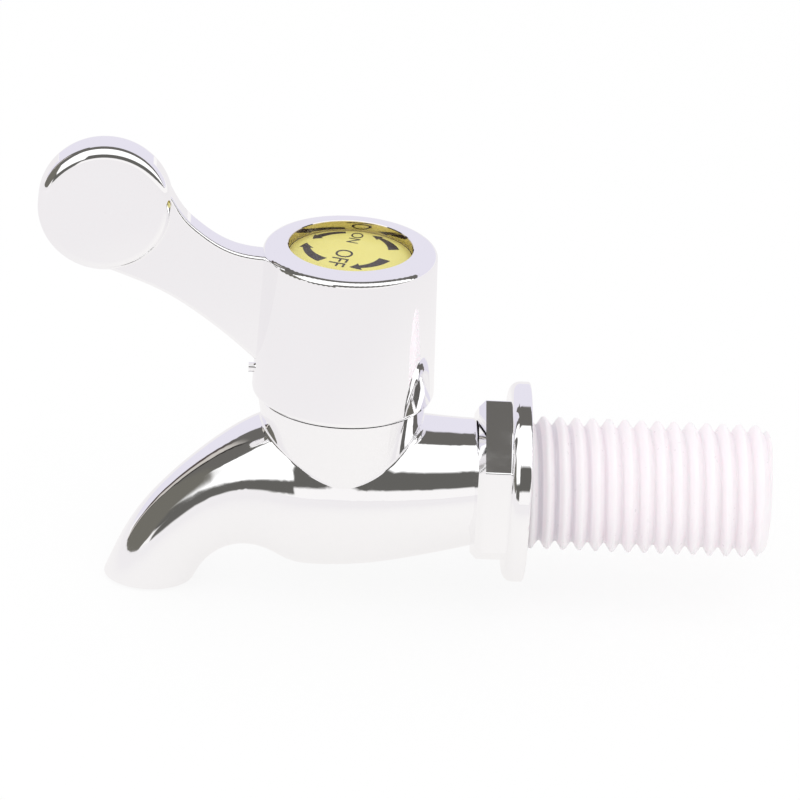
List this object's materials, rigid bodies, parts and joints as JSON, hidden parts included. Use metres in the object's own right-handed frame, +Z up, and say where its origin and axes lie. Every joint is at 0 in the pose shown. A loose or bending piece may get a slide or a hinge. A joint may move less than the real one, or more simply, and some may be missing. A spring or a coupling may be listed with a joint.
{
  "type": "bottle tap",
  "caption": "Small chromed bottle tap with a curved spout, a lever handle over a quarter-turn disc valve, a wall flange with a hexagon, and a threaded plastic tail.",
  "frame": {"origin": "on the tail's axis, at the sealing face on the back of the wall flange", "axes": "+X out along the threaded tail, away from the spout; +Z up along the valve's axis; the spout points to -X"},
  "size_m": [0.0902, 0.0244, 0.0569],
  "materials": {
    "chrome_plate": "mirror-bright chrome plating on a plastic moulding",
    "tail_plastic": "milky, slightly see-through moulded plastic",
    "seal_rubber": "matt black rubber",
    "disc_ceramic": "lapped white ceramic",
    "cartridge_plastic": "white moulded plastic",
    "stem_plastic": "grey moulded plastic",
    "washer_plastic": "waxy white plastic",
    "spring_steel": "plain steel",
    "label_paper": "yellow print with dark arrows",
    "lens_acrylic": "clear and polished"
  },
  "bodies": {
    "tap_body": {"spout_body": "chrome_plate", "tail_pipe": "tail_plastic", "tail_gasket": "seal_rubber", "seat_gasket": "seal_rubber", "housing_ring": "seal_rubber", "fixed_disc": "disc_ceramic", "cartridge_housing": "cartridge_plastic", "gland_nut": "cartridge_plastic", "slip_washer": "washer_plastic"},
    "handle_group": {"moving_disc": "disc_ceramic", "valve_stem": "stem_plastic", "stem_ring_lower": "seal_rubber", "stem_ring_upper": "seal_rubber", "stem_clip": "spring_steel", "handle": "chrome_plate", "handle_screw": "spring_steel", "screw_washer": "spring_steel", "label_disc": "label_paper", "window_lens": "lens_acrylic"}
  },
  "joints": [
    {"name": "handle_turn", "type": "hinge", "parent": "tap_body", "child": "handle_group", "pos_m": [-0.023, 0, 0.02], "axis": [0, 0, 1], "range_deg": [0, 90]}
  ]
}
